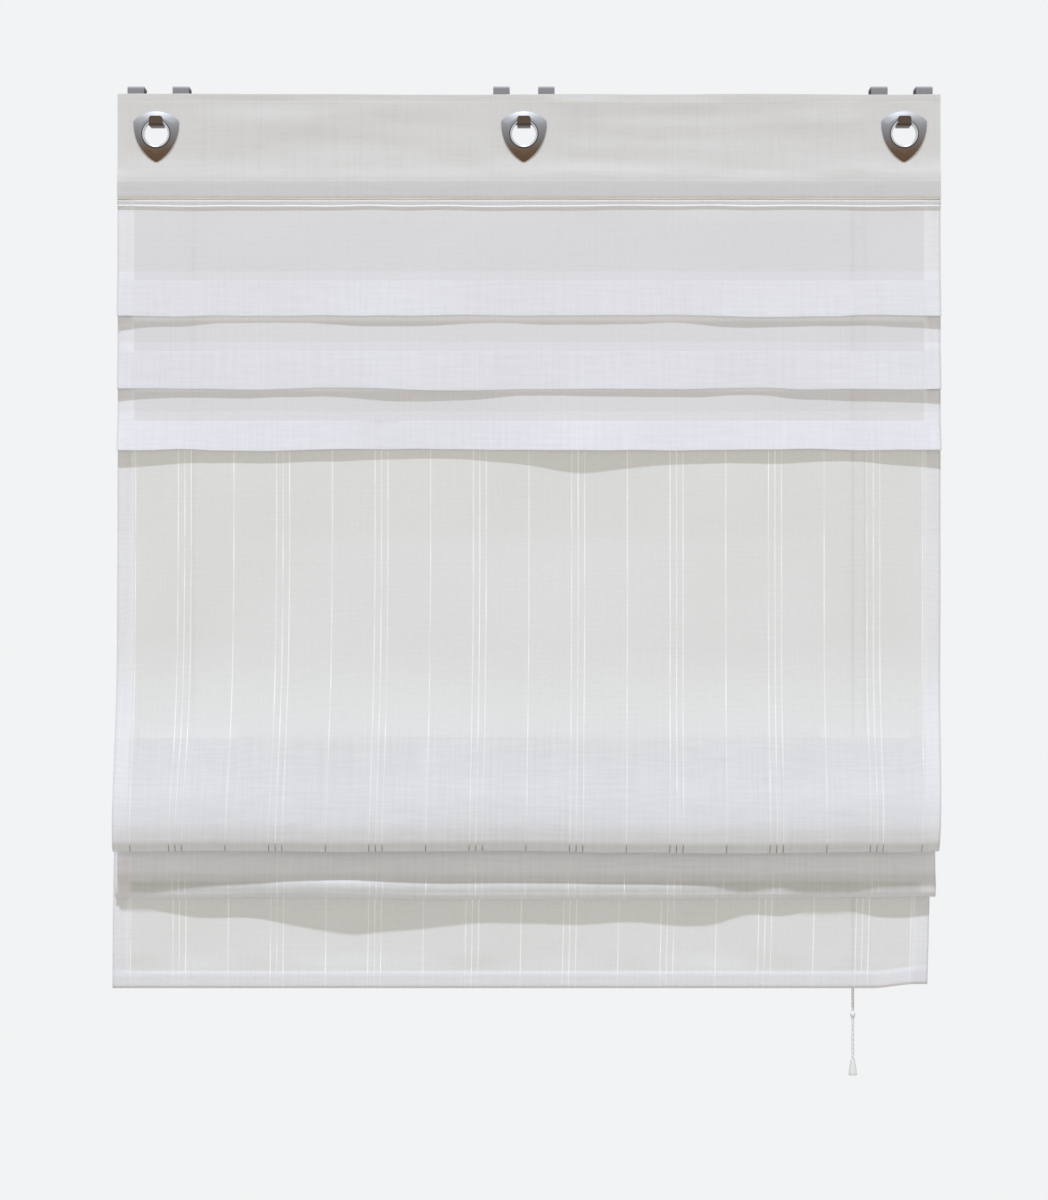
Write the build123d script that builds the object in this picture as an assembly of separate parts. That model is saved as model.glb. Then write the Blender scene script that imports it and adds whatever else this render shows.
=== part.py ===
from build123d import *
import os
from math import pi, radians, sqrt, tan

# A sheer roman blind on three hooks, drawn up a little by its pull cord.
# Sizes are in millimetres. X runs along the blind to the right, Y runs back from the room and Z up.
# The hooks sit on a board: Z is 0 on its top, Y is 0 on its front face and X is 0 at the blind's middle.
# A drop is a distance below the board's top.

# Cloth
blind_width = 800.0
cloth = 0.8                          # thickness of one layer
layer_gap = 0.2                      # left between layers that lie on each other
side_hem = 14.5                      # both side edges are turned in, so two layers thick
hang_off = 15.2                      # from the board's front face to the middle of the cloth

# Header band: two layers with a bar in the tunnel along its lower edge
header_top = 8.8
header_height = 102.5
tunnel_height = 16.6
header_tunnel_up = 9.8               # from the band's lower edge to the middle of the bar

# Stiffening bars of the header and the hem
bar_width = 12.0
bar_thickness = 3.0
bar_inset = 6.0                      # how far each end of a bar stays inside the cloth
bar_clearance = 0.3

# Tucks sewn across the plain cloth
tuck_seam_drops = (190.1, 258.6, 326.2)
tuck_depths = (35.0, 37.4, 29.2)
tuck_flares = (5.6, 5.6, 7.0)        # how far each tuck's lower edge stands in front of the cloth
tuck_bend = 3.0                      # across the fold at a tuck's lower edge
striped_seam = 15.0                  # the striped cloth starts this far below the lowest tuck's seam

# Gathered part: two soft folds drawn up at the rings, and the panel below them
ring_pitch = 262.4                   # cloth between one row of rings and the next
fold_drop = 742.7                    # lower edge of the upper fold
fold_step = 45.7                     # from the upper fold's lower edge to the lower fold's
hem_below_fold = 89.4                # from the lower fold's edge to the bottom of the hem
upper_reach, lower_reach = 32.0, 16.5    # how far each fold stands in front of the cloth
upper_back, lower_back = 18.5, 6.5       # how far the cloth behind each fold's edge stands out
layer_step = 2.8                     # between the layers where the cloth turns at a ring
hem_height = 17.5
hem_tunnel_up = 8.8                  # from the hem's bottom to the middle of its bar

# Hooks, each stamped and bent from one steel sheet
hook_insets = (37.7, 35.6)           # from the blind's sides to the middles of the outer hooks
middle_hook_x = -5.0
hook_width = 60.0
hook_tab = 16.0                      # width of each of the two tabs that go over the board
hook_sheet = 1.5
board_room = 20.0                    # thickness of board that fits under the tabs
hook_grip = 12.0                     # how far the tabs reach down behind the board
shoulder_top, shoulder_bottom = 11.5, 21.5   # drops of the cross strip that joins the tabs
hook_neck = 13.0                     # width of the neck, the tongue and its lip
neck_top = 31.5                      # drop at which the sides have drawn in to the neck
tongue_bottom = 39.9
lip_top = 30.7
hook_bend = 0.8                      # inside radius of the bends

# Shield-shaped eyelets, clinched through the header band
eyelet_bore = 11.6                   # radius
eyelet_half_width = 22.0
eyelet_rise, eyelet_fall = 21.9, 26.9    # from the bore's centre to the arched top and to the tip
eyelet_edge = 0.9                    # thickness at the outline
eyelet_crown = 2.6                   # thickness around the bore
rim_wire = 1.1                       # radius of the rolled rim
barrel_wall = 0.8
washer_radius = 17.0
washer_sheet = 0.8
lip_clearance = 0.6

# Rings, cords and the pull
ring_size = 10.0
ring_wire = 1.8
seat_gap = 0.3                       # between a sewn or resting piece and what carries it
cord_inset = 73.0                    # from the blind's sides to the lift cords
cord_size = 1.4
cord_bend = 4.2
guide_drop = 77.5                    # middle of the guide rings behind the header
pull_inset = 84.5                    # from the blind's right side to the pull cord
strand_x, strand_y = 0.75, 0.35      # the two strands lie this far to each side of its middle
pull_size = 2.8
join_drop = 901.2                    # knot that joins the two strands
join_size, join_length = 5.0, 6.0
bell_drop, bell_height = 947.9, 15.5
bell_top, bell_foot = 4.2, 8.3       # diameters
bell_pocket = 5.2                    # diameter and depth of the knot's pocket
end_knot_size, end_knot_length = 7.0, 5.0

# Cord stopper: a sprung plunger pinches the strands in a barrel
stopper_size = 11.6
stopper_ends = (-10.0, 9.5)          # the barrel's ends, from the pull cord
stopper_wall = 1.7                   # closed end
plunger_size = 8.4
plunger_clearance = 0.2
plunger_out = 2.4                    # from the barrel's mouth to the thumb pad, at rest
pad_size, pad_thickness = 10.0, 1.6
press_travel = 2.0
cord_hole = 5.8
spring_wire = 0.7
spring_turns = 3.5

cloth_y = -hang_off
cloth_back = cloth_y + cloth
half_width = blind_width / 2
hook_xs = (-half_width + hook_insets[0], middle_hook_x, half_width - hook_insets[1])
cord_column = half_width - cord_inset
pull_at = half_width - pull_inset


def flat(shape):
    """Puts a section drawn in (Y, Z) into the part, across X."""
    return Plane.YZ * shape


def eased(points, most=60.0):
    """A line through these points, each corner rounded as far as its two runs allow, up to a radius."""
    radii = []
    for before, here, after in zip(points, points[1:], points[2:]):
        run, next_run = Vector(here) - Vector(before), Vector(after) - Vector(here)
        half_turn = radians(run.get_angle(next_run)) / 2
        radii.append(min(most, 0.45 * min(run.length, next_run.length) / tan(half_turn)))
    return FilletPolyline(*points, radius=radii)


def ribbon(line, width, thickness=cloth):
    """Cloth of this width whose section follows a line drawn in (Y, Z)."""
    return extrude(flat(trace(line, thickness)), amount=width / 2, both=True)


def side_hems(line):
    """The turned-in edges at both sides, two layers thick, along a line drawn in (Y, Z)."""
    hem = extrude(flat(trace(line, 2 * cloth)), amount=side_hem)
    return Pos(-half_width, 0, 0) * hem + Pos(half_width - side_hem, 0, 0) * hem


def hemmed(line):
    """A full-width ribbon with its side hems."""
    return ribbon(line, blind_width) + side_hems(line)


def rod(x, y, top_drop, bottom_drop, size):
    """A straight upright length of cord."""
    return Pos(x, y, -bottom_drop) * extrude(Circle(size / 2), amount=bottom_drop - top_drop)


def tunnel_line(y, top, bottom, middle, room):
    """A layer of cloth that hangs at y and bulges forward round a bar of the tunnel's middle drop."""
    half = bar_width / 2 + bar_clearance
    spread = tunnel_height / 2
    points = [
        (y, -top),
        (y, -middle + spread),
        (y - room, -middle + half),
        (y - room, -middle - half),
        (y, -middle - spread),
        (y, -bottom),
    ]
    return eased(points, 1.4)


def bar_at(middle):
    """A flat bar with rounded edges, in the tunnel of two layers of cloth."""
    section = RectangleRounded(bar_thickness, bar_width, bar_thickness / 2 - 0.1)
    y = cloth_y - bar_clearance - bar_thickness / 2
    bar = extrude(flat(section), amount=half_width - bar_inset, both=True)
    return Pos(0, y, -middle) * bar


# Drops that follow from the sizes above
header_drop = header_top + header_height
header_bar_drop = header_drop - header_tunnel_up
tuck_step = 2 * cloth + layer_gap
striped_top = tuck_seam_drops[-1] + striped_seam
front_leg = (ring_pitch + fold_step) / 2
row_3 = fold_drop - front_leg
row_4 = row_3 - ring_pitch
row_2 = row_3 + fold_step
row_1 = row_2 + fold_step
lower_fold_drop = fold_drop + fold_step
hem_drop = lower_fold_drop + hem_below_fold
tunnel_room = bar_thickness + 2 * bar_clearance
eyelet_drop = tongue_bottom - hook_sheet - seat_gap + sqrt(eyelet_bore**2 - (hook_neck / 2) ** 2)
barrel_radius = eyelet_bore + barrel_wall
rim_front = eyelet_crown + 0.6 * rim_wire


def header_band():
    """Two layers stitched together, with the tunnel and a hole for each eyelet's barrel."""
    front = tunnel_line(cloth_y - cloth / 2, header_top, header_drop, header_bar_drop, tunnel_room)
    back = Line((cloth_y + cloth / 2, -header_top), (cloth_y + cloth / 2, -header_drop))
    band = ribbon(front, blind_width) + ribbon(back, blind_width)
    for x in hook_xs:
        band -= through_cloth(x, barrel_radius + seat_gap)
    return band


def through_cloth(x, radius):
    """A round plug that passes through the header band where an eyelet sits."""
    plug = extrude(Plane.XZ * Circle(radius), amount=3 * cloth, both=True)
    return Pos(x, cloth_y, -eyelet_drop) * plug


def tucked_panel():
    """Plain cloth from the header to behind the lowest tuck, folded forward and down at each tuck."""
    points = [(cloth_y, -header_drop)]
    for seam, depth, flare in zip(tuck_seam_drops, tuck_depths, tuck_flares):
        points += [
            (cloth_y, -seam + 5),
            (cloth_y - 2 * tuck_step, -seam),
            (cloth_y - flare, -seam - depth),
            (cloth_y - flare + tuck_bend, -seam - depth),
            (cloth_y - tuck_step, -seam),
            (cloth_y, -seam),
        ]
    points.append((cloth_y, -striped_top))
    straight = Line((cloth_y, -header_drop), (cloth_y, -striped_top))
    return ribbon(eased(points, 3.0), blind_width) + side_hems(straight)


def striped_panel():
    """The open striped cloth, from behind the lowest tuck to the ring row where the folds start."""
    return hemmed(Line((cloth_y, -striped_top), (cloth_y, -row_3)))


def fold_edge(top, reach, back, edge):
    """Points of a hanging fold: out to its belly, round its lower edge and up again behind."""
    upright = 0.45 * fold_step
    front = cloth_y - reach
    behind = cloth_y - back
    return [*top, (front, -edge + 1.3 * upright), (front, -edge), (behind, -edge), (behind, -edge + upright)]


def fold_front(top, reach, back, edge):
    """The front of a fold with its rounded lower edge."""
    return hemmed(eased(fold_edge(top, reach, back, edge - cloth / 2)))


def fold_behind(back, edge, waist, row):
    """The back of a fold: up past its waist to a ring row, over, and a little way down again."""
    start = -edge + cloth / 2 + 0.45 * fold_step
    points = [
        (cloth_y - back, start),
        (cloth_y - back, start + 5),
        waist,
        (cloth_y - layer_step, -row - 12),
        (cloth_y - layer_step, -row),
        (cloth_y, -row),
        (cloth_y, -row - 12),
    ]
    return hemmed(eased(points))


def upper_fold_back():
    """Passes in front of the lower fold, whose two layers hang behind it."""
    waist = (cloth_y - 3 * layer_step, -row_1 - 6)
    return fold_behind(upper_back, fold_drop, waist, row_2)


def lower_fold_back():
    waist = (cloth_y - 1.6 * layer_step, -fold_drop + 6)
    return fold_behind(lower_back, lower_fold_drop, waist, row_1)


def upper_fold_front():
    top = [(cloth_y, -row_3), (cloth_y, -row_3 - 0.18 * front_leg)]
    return fold_front(top, upper_reach, upper_back, fold_drop)


def lower_fold_front():
    """Hangs from the second ring row between the upper fold's back and the lower fold's."""
    top = [
        (cloth_y, -row_2 - 12),
        (cloth_y, -row_2 - 18),
        (cloth_y - 2 * layer_step, -row_1 - 6),
        (cloth_y - 3 * layer_step, -fold_drop),
    ]
    return fold_front(top, lower_reach, lower_back, lower_fold_drop)


def bottom_panel():
    """Hangs from the lowest ring row; its hem is turned up behind to make a tunnel for the bar."""
    hem_top = hem_drop - hem_height
    middle = hem_drop - hem_tunnel_up
    spread = hem_height / 2 - 0.6
    half = bar_width / 2 + bar_clearance
    front_y = cloth_y - cloth / 2
    front = Polyline(
        (cloth_y, -row_1 - 12),
        (cloth_y, -hem_top + 2),
        (front_y, -hem_top),
        (front_y - tunnel_room, -middle + half),
        (front_y - tunnel_room, -middle - half),
        (front_y, -middle - spread),
        (front_y, -hem_drop),
    )
    back = Line((cloth_y + cloth / 2, -hem_top), (cloth_y + cloth / 2, -hem_drop))
    upper = Line((cloth_y, -row_1 - 12), (cloth_y, -hem_top + 2))
    return ribbon(front, blind_width) + ribbon(back, blind_width) + side_hems(upper)


def hook():
    """Steel sheet: two tabs over the board, a plate that narrows to a neck, and a tongue with a lip."""
    face = -hook_sheet / 2
    wide, gap, neck = hook_width / 2, hook_width / 2 - hook_tab, hook_neck / 2
    middle_radius = hook_bend + hook_sheet / 2
    over = FilletPolyline(
        (face, -shoulder_top),
        (face, -face),
        (board_room - face, -face),
        (board_room - face, -hook_grip),
        radius=middle_radius,
    )
    tab = extrude(flat(trace(over, hook_sheet)), amount=hook_tab)
    outline = make_face(
        Polyline(
            (-wide, -shoulder_top), (wide, -shoulder_top), (wide, -shoulder_bottom), (neck, -neck_top),
            (-neck, -neck_top), (-wide, -shoulder_bottom), close=True,
        )
    )
    low_corners = outline.vertices().sort_by(Axis.Y)[2:4]
    plate = extrude(Plane.XZ * fillet(low_corners, 3), amount=hook_sheet)
    lip_y = -hang_off - cloth - rim_front - lip_clearance - hook_sheet / 2
    reach = FilletPolyline(
        (face, -neck_top),
        (face, -tongue_bottom + hook_sheet / 2),
        (lip_y, -tongue_bottom + hook_sheet / 2),
        (lip_y, -lip_top),
        radius=middle_radius,
    )
    tongue = extrude(flat(trace(reach, hook_sheet)), amount=neck, both=True)
    corners = tongue.edges().filter_by(Axis.Y).filter_by_position(Axis.Z, -lip_top - 0.01, -lip_top + 0.01)
    tongue = fillet(corners, 2.5)
    return plate + Pos(-wide, 0, 0) * tab + Pos(gap, 0, 0) * tab + tongue


def shield_outline():
    """Gently arched top, rounded upper corners and full sides that meet in a rounded tip."""
    x, y = eyelet_half_width, 0.58 * eyelet_rise
    side = (0.75 * x, -0.395 * eyelet_fall)
    tip = (0, -1.03 * eyelet_fall)
    arch = ThreePointArc((-x, y), (0, eyelet_rise), (x, y))
    right = ThreePointArc((x, y), side, tip)
    left = ThreePointArc(tip, (-side[0], side[1]), (-x, y))
    corners = make_face([arch, right, left]).vertices().sort_by(Axis.Y)
    shape = fillet(corners[0], 4.0)
    return fillet(shape.vertices().sort_by(Axis.Y)[-2:], 3.0)


def eyelet():
    """The shield: crowned towards a rolled rim, with a barrel through the cloth, turned over behind."""
    outline = shield_outline()
    base = extrude(outline, amount=eyelet_edge)
    crown = loft([Pos(0, 0, eyelet_edge) * outline, Pos(0, 0, eyelet_crown) * scale(outline, 0.72)])
    rim = Pos(0, 0, rim_front - rim_wire) * Torus(eyelet_bore + rim_wire, rim_wire)
    depth = 2 * cloth + washer_sheet
    barrel = Pos(0, 0, -depth) * extrude(Circle(barrel_radius), amount=depth)
    flange = Pos(0, 0, -depth - barrel_wall) * extrude(Circle(barrel_radius + 1.6), amount=barrel_wall)
    solid = base + crown + rim + barrel + flange
    bore = Pos(0, 0, -depth - 2) * extrude(Circle(eyelet_bore), amount=depth + eyelet_crown + 4)
    return solid - bore


def washer():
    """Flat ring behind the cloth that the barrel is turned over."""
    ring = Circle(washer_radius) - Circle(barrel_radius + seat_gap)
    return Pos(0, 0, -2 * cloth - washer_sheet) * extrude(ring, amount=washer_sheet)


def on_header(shape, x):
    """Turns an eyelet drawn in XY, facing +Z, to face the room on the header's front."""
    return Pos(x, cloth_y - cloth, -eyelet_drop) * (Rot(90, 0, 0) * shape)


# Rings and cords
ring_eye = ring_size - 2 * ring_wire
row_ring_y = cloth_y + cloth / 2 + seat_gap + ring_size / 2
guide_y = cloth_back + seat_gap + ring_size / 2
cord_y = cloth_back + seat_gap + stopper_size / 2
cord_room = ring_eye / 2 - cord_size / 2 - 0.1    # from a guide ring's middle to a cord lying in its eye
cord_top = guide_drop + sqrt(cord_room**2 - (cord_y + strand_y - guide_y) ** 2)
left_strand = (pull_at - strand_x, cord_y - strand_y)
right_strand = (pull_at + strand_x, cord_y + strand_y)
stopper_drop = guide_drop + ring_size / 2 + seat_gap + stopper_size / 2
strand_drop = stopper_drop + stopper_size / 2 + 4
below_ring = 3.0
guide_xs = (
    -cord_column + cord_bend + 1.8,
    0.0,
    left_strand[0] - cord_bend - 1.8,
    (cord_column + right_strand[0]) / 2,
)


def ring():
    return Torus((ring_size - ring_wire) / 2, ring_wire / 2)


def ring_row(drop):
    """A ring at each lift cord, lying flat round the cord, with its rim at the back of the cloth."""
    return Compound([Pos(x, row_ring_y, -drop) * ring() for x in (-cord_column, cord_column)])


def guide_rings():
    """Rings that stand across the header's back and turn the cords from one side to the other."""
    return Compound([Pos(x, guide_y, -guide_drop) * (Rot(0, 90, 0) * ring()) for x in guide_xs])


def swept(points, size):
    """A cord along straight runs joined by tangent arcs."""
    path = eased(points, cord_bend)
    start = Plane(origin=path @ 0, z_dir=path % 0)
    tube = sweep(start * Circle(size / 2), path)
    expected = pi * (size / 2) ** 2 * path.length
    print(f"cord bends {cord_bend} mm, length {path.length:.1f} mm, volume {tube.volume:.1f} of {expected:.1f}")
    return tube


def lift_cord(column, strand):
    """From the ring row above the folds up to the guide rings, across, and down through the stopper."""
    x, y = strand
    return swept(
        [
            (column, y, -row_3 - below_ring),
            (column, y, -cord_top),
            (x, y, -cord_top),
            (x, y, -strand_drop),
        ],
        cord_size,
    )


def cord_spans(top_drop, bottom_drop):
    """The stretch of both lift cords between two ring rows."""
    ends = top_drop + below_ring, bottom_drop + below_ring
    strands = ((-cord_column, left_strand[1]), (cord_column, right_strand[1]))
    return Compound([rod(x, y, *ends, cord_size) for x, y in strands])


def knot(size, length):
    """A tied knot: a soft barrel with a flat top and bottom."""
    side = Spline((0.3 * size, length / 2), (size / 2, 0), (0.3 * size, -length / 2))
    outline = [Line((0, length / 2), side @ 0), side, Line(side @ 1, (0, -length / 2)),
               Line((0, -length / 2), (0, length / 2))]
    return revolve(Plane.XZ * make_face(outline), axis=Axis.Z)


def end_knots():
    """Knots under the lowest rings, which carry the bottom of the blind."""
    drop = row_1 + below_ring + end_knot_length / 2
    strands = ((-cord_column, left_strand[1]), (cord_column, right_strand[1]))
    return Compound([Pos(x, y, -drop) * knot(end_knot_size, end_knot_length) for x, y in strands])


def pull_strands():
    """Both cords' free ends, from the stopper down to the knot that joins them."""
    return Compound([rod(*strand, strand_drop, join_drop, cord_size) for strand in (left_strand, right_strand)])


def pull_cord():
    """From the joining knot through the bell, ending in a knot in the bell's pocket."""
    knot_drop = bell_drop + bell_height - bell_pocket
    length = rod(pull_at, cord_y, join_drop + join_length, knot_drop, pull_size)
    end_size = bell_pocket - 2 * seat_gap
    end = Pos(pull_at, cord_y, -knot_drop - end_size / 2) * knot(end_size, end_size)
    return length + end


def bell():
    """Moulded pull: a slim bell with a rounded foot, bored for the cord and pocketed for its knot."""
    top, foot = bell_top / 2, bell_foot / 2
    bore, pocket = pull_size / 2 + 0.15, bell_pocket / 2
    outer = eased(
        [(bore, 0), (top, 0), (foot, -bell_height + 2.2), (foot, -bell_height), (pocket, -bell_height)], 2.0
    )
    inner = Polyline(
        (pocket, -bell_height), (pocket, -bell_height + bell_pocket), (bore, -bell_height + bell_pocket), (bore, 0)
    )
    body = revolve(Plane.XZ * make_face([*outer.edges(), *inner.edges()]), axis=Axis.Z)
    return Pos(pull_at, cord_y, -bell_drop) * body


# Stopper
mouth, closed_end = stopper_ends
spring_end = closed_end - stopper_wall
plunger_end = -press_travel / 2 + cord_hole / 2 + 1.3
plunger_start = mouth - plunger_out


def along_x(shape):
    """Turns a shape drawn along +Z to run along +X at the stopper."""
    return Pos(pull_at, cord_y, -stopper_drop) * (Rot(0, 90, 0) * shape)


def across(x):
    """The upright hole for the cords, this far along the stopper."""
    return Pos(pull_at + x, cord_y, -stopper_drop) * Cylinder(cord_hole / 2, 2 * stopper_size)


def stopper_barrel():
    outer = Pos(0, 0, mouth) * extrude(Circle(stopper_size / 2), amount=closed_end - mouth)
    outer = fillet(outer.edges().filter_by(GeomType.CIRCLE), 0.8)
    bore = Pos(0, 0, mouth - 1) * extrude(Circle(plunger_size / 2 + plunger_clearance), amount=spring_end - mouth + 1)
    return along_x(outer - bore) - across(press_travel / 2)


def stopper_plunger():
    stem = Pos(0, 0, plunger_start) * extrude(Circle(plunger_size / 2), amount=plunger_end - plunger_start)
    pad = Pos(0, 0, plunger_start - pad_thickness) * extrude(Circle(pad_size / 2), amount=pad_thickness)
    pad = fillet(pad.edges().filter_by(GeomType.CIRCLE), 0.6)
    return along_x(stem + pad) - across(-press_travel / 2)


def stopper_spring():
    """Open coil between the plunger and the barrel's closed end."""
    coil_radius = plunger_size / 2 - 1.2
    room = spring_end - plunger_end - spring_wire - 0.1
    helix = Helix(pitch=room / spring_turns, height=room, radius=coil_radius)
    start = Plane(origin=helix @ 0, z_dir=helix % 0)
    coil = sweep(start * Circle(spring_wire / 2), helix, is_frenet=True)
    return along_x(Pos(0, 0, plunger_end + spring_wire / 2 + 0.05) * coil)


nodes = {
    "header_band": header_band(),
    "tucked_panel": tucked_panel(),
    "striped_panel": striped_panel(),
    "upper_fold_front": upper_fold_front(),
    "upper_fold_back": upper_fold_back(),
    "lower_fold_front": lower_fold_front(),
    "lower_fold_back": lower_fold_back(),
    "bottom_panel": bottom_panel(),
    "header_bar": bar_at(header_bar_drop),
    "hem_bar": bar_at(hem_drop - hem_tunnel_up),
    "guide_rings": guide_rings(),
    "ring_row_4": ring_row(row_4),
    "ring_row_3": ring_row(row_3),
    "ring_row_2": ring_row(row_2),
    "ring_row_1": ring_row(row_1),
    "lift_cord_left": lift_cord(-cord_column, left_strand),
    "lift_cord_right": lift_cord(cord_column, right_strand),
    "upper_cord_spans": cord_spans(row_3, row_2),
    "lower_cord_spans": cord_spans(row_2, row_1),
    "end_knots": end_knots(),
    "pull_strands": pull_strands(),
    "join_knot": Pos(pull_at, cord_y, -join_drop - join_length / 2) * knot(join_size, join_length),
    "pull_cord": pull_cord(),
    "bell": bell(),
    "stopper_barrel": stopper_barrel(),
    "stopper_plunger": stopper_plunger(),
    "stopper_spring": stopper_spring(),
}
for place, x in zip(("left", "middle", "right"), hook_xs):
    nodes[f"hook_{place}"] = Pos(x, 0, 0) * hook()
    nodes[f"eyelet_{place}"] = on_header(eyelet(), x)
    nodes[f"washer_{place}"] = on_header(washer(), x)

os.makedirs("parts", exist_ok=True)
for name, solid in nodes.items():
    export_step(solid, f"parts/{name}.step")
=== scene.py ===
# %% [markdown]
# A sheer roman blind on three hooks.
# The CAD model holds every piece at its real size. This script loads it as a fixed frame and gives it its
# looks: the cloths are built again as soft sheets, the cords as twisted cord, and every piece gets a finish.
# Sizes are in millimetres, and mm turns them into the metres that Blender uses.

# %% Load the frame
import math

import bmesh
import bpy
import numpy as np
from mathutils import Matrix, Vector, noise


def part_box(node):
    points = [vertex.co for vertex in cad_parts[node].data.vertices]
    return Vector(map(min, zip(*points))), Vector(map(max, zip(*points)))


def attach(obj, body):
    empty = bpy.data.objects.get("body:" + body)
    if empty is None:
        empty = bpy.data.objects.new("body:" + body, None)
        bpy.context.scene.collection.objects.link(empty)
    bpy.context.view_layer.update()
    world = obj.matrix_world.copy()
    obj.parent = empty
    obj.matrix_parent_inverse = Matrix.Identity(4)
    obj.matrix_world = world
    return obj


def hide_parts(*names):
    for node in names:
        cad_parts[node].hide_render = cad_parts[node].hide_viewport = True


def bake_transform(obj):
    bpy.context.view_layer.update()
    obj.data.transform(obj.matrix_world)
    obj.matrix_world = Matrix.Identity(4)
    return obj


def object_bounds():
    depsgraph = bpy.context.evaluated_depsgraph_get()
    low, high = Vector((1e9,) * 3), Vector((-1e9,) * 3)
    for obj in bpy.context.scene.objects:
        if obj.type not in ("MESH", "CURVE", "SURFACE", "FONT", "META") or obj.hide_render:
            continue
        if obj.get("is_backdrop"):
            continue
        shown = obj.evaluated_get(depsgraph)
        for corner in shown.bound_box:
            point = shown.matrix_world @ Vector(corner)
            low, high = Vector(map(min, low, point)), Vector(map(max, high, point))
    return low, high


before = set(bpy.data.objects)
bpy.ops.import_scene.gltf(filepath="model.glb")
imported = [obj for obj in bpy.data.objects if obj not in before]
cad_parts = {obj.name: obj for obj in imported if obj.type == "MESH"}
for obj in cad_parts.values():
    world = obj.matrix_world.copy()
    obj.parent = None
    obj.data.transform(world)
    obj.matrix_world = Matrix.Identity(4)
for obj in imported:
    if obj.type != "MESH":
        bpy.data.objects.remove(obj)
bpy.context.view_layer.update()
mm = 0.001


def placed(name, data):
    """An object made of this data, in the scene."""
    made = bpy.data.objects.new(name, data)
    bpy.context.scene.collection.objects.link(made)
    return made


# %% [markdown]
# Where things are. Most heights and depths are read from the CAD pieces, so that the soft sheets hang where the
# solids hang. Only what the solids don't give as an edge, such as the lines of the sewn tucks, is written here.

# %% Heights, depths and widths
def middle(node):
    low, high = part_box(node)
    return (low + high) / 2


half_width = 400 * mm
side_hem = 14.5 * mm
cord_offset = 327 * mm
layer = 0.8 * mm
cloth_y = middle("striped_panel").y
header_low, header_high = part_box("header_band")
header_bar_z = middle("header_bar").z
hem_bar_z = middle("hem_bar").z
striped_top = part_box("striped_panel")[1].z
row_3, row_2, row_1 = (middle(f"ring_row_{row}").z for row in (3, 2, 1))
upper_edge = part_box("upper_fold_front")[0].z
lower_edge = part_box("lower_fold_front")[0].z
hem_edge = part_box("bottom_panel")[0].z
upper_reach, upper_back = 35 * mm, 18.5 * mm
lower_back = 6.5 * mm
tuck_seams = [-190.1 * mm, -258.6 * mm, -326.2 * mm]
tuck_depths = [35.0 * mm, 37.4 * mm, 29.2 * mm]
tuck_flares = [3.6 * mm, 3.6 * mm, 5.4 * mm]
ring_rows = [round(z / mm, 1) for z in (row_3, row_2, row_1)]
print("cloth plane at y", round(cloth_y / mm, 2), "mm, rows of rings at", ring_rows)

# %% [markdown]
# The camera stands straight in front of the blind. Its distance and lens give the picture's frame at the cloth:
# a picture 1048 by 1200 is 1166.5 mm high there.

# %% Camera
camera_distance = 2.7
picture_height = 1166.5 * mm
picture_middle = Vector((-4.9 * mm, cloth_y, -500.5 * mm))
camera_data = bpy.data.cameras.new("camera")
camera_data.sensor_width = 36
camera_data.lens = camera_data.sensor_width * camera_distance / picture_height
camera = placed("camera", camera_data)
camera.location = picture_middle - Vector((0, camera_distance, 0))
camera.rotation_euler = (math.radians(90), 0, 0)
bpy.context.scene.camera = camera
print("lens", round(camera_data.lens, 1), "mm")

# %% [markdown]
# Colours are written as sRGB hex, the way a paint or dye is picked on a screen. Shaders add light in linear
# values, so one function turns the one into the other.

# %% Colour
def srgb(code):
    """A hex colour as linear red, green, blue and alpha."""
    parts = [int(code[i:i + 2], 16) / 255 for i in (0, 2, 4)]
    linear = [p / 12.92 if p <= 0.04045 else ((p + 0.055) / 1.055) ** 2.4 for p in parts]
    return (*linear, 1.0)


# %% [markdown]
# A material is a small tree of nodes. This function adds one node, sets what it is told to and links the rest:
# a value that is another node's output is linked, a node stands for its first output, and any other value is
# written on the socket.

# %% One function that adds a node
def add(tree, kind, sockets=None, **settings):
    made = tree.nodes.new(kind)
    for name, value in settings.items():
        setattr(made, name, value)
    for socket, value in (sockets or {}).items():
        if isinstance(value, bpy.types.Node):
            value = value.outputs[0]
        if isinstance(value, bpy.types.NodeSocket):
            tree.links.new(value, made.inputs[socket])
        else:
            made.inputs[socket].default_value = value
    return made


def new_material(name):
    made = bpy.data.materials.new(name)
    made.use_nodes = True
    made.node_tree.nodes.clear()
    return made, made.node_tree


# %% [markdown]
# Voile is a thin open cloth of fine polyester yarn, woven and heat set. It shows some of what is behind it, and
# where it lies double, as in a tuck or a hem, it is whiter and closer. The sheets carry an attribute named cut:
# its X and Y are the place on the flat cloth, in metres, and its Z says how far the cloth lies double there.
# That Z also carries painted light and painted shade: it is raised for painted highlights and for painted light
# in shaded hollows, and lowered, below nothing, for painted shade.
# The weave is drawn from that place, so it follows every fold. Real voile has about 30 threads per centimetre.
# That is finer than the picture, so the weave is drawn with a thread every 1.1 mm, faintly, and slubs, which are
# thicker stretches of yarn, are drawn at their real length of a few centimetres.
# The striped cloth also has thick white threads woven in: by turns one thread and a group of three. Over the
# lowest 10 mm of the upper fold, round its lower edge, those threads are painted dark brown as painted shade.
# Sewing shows as rows of stitches about 2 mm long. A part of the light that falls on voile goes through it, so
# each sheet has a share of a Translucent shader. It keeps the shade under the folds soft and warm.

# %% Cloth
weave_pitch = 1.1 * mm
slub_length = 35 * mm
stripe_pitch = 95.6 * mm
group_pitch = 6.3 * mm
stripe_width = 1.0 * mm


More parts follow.
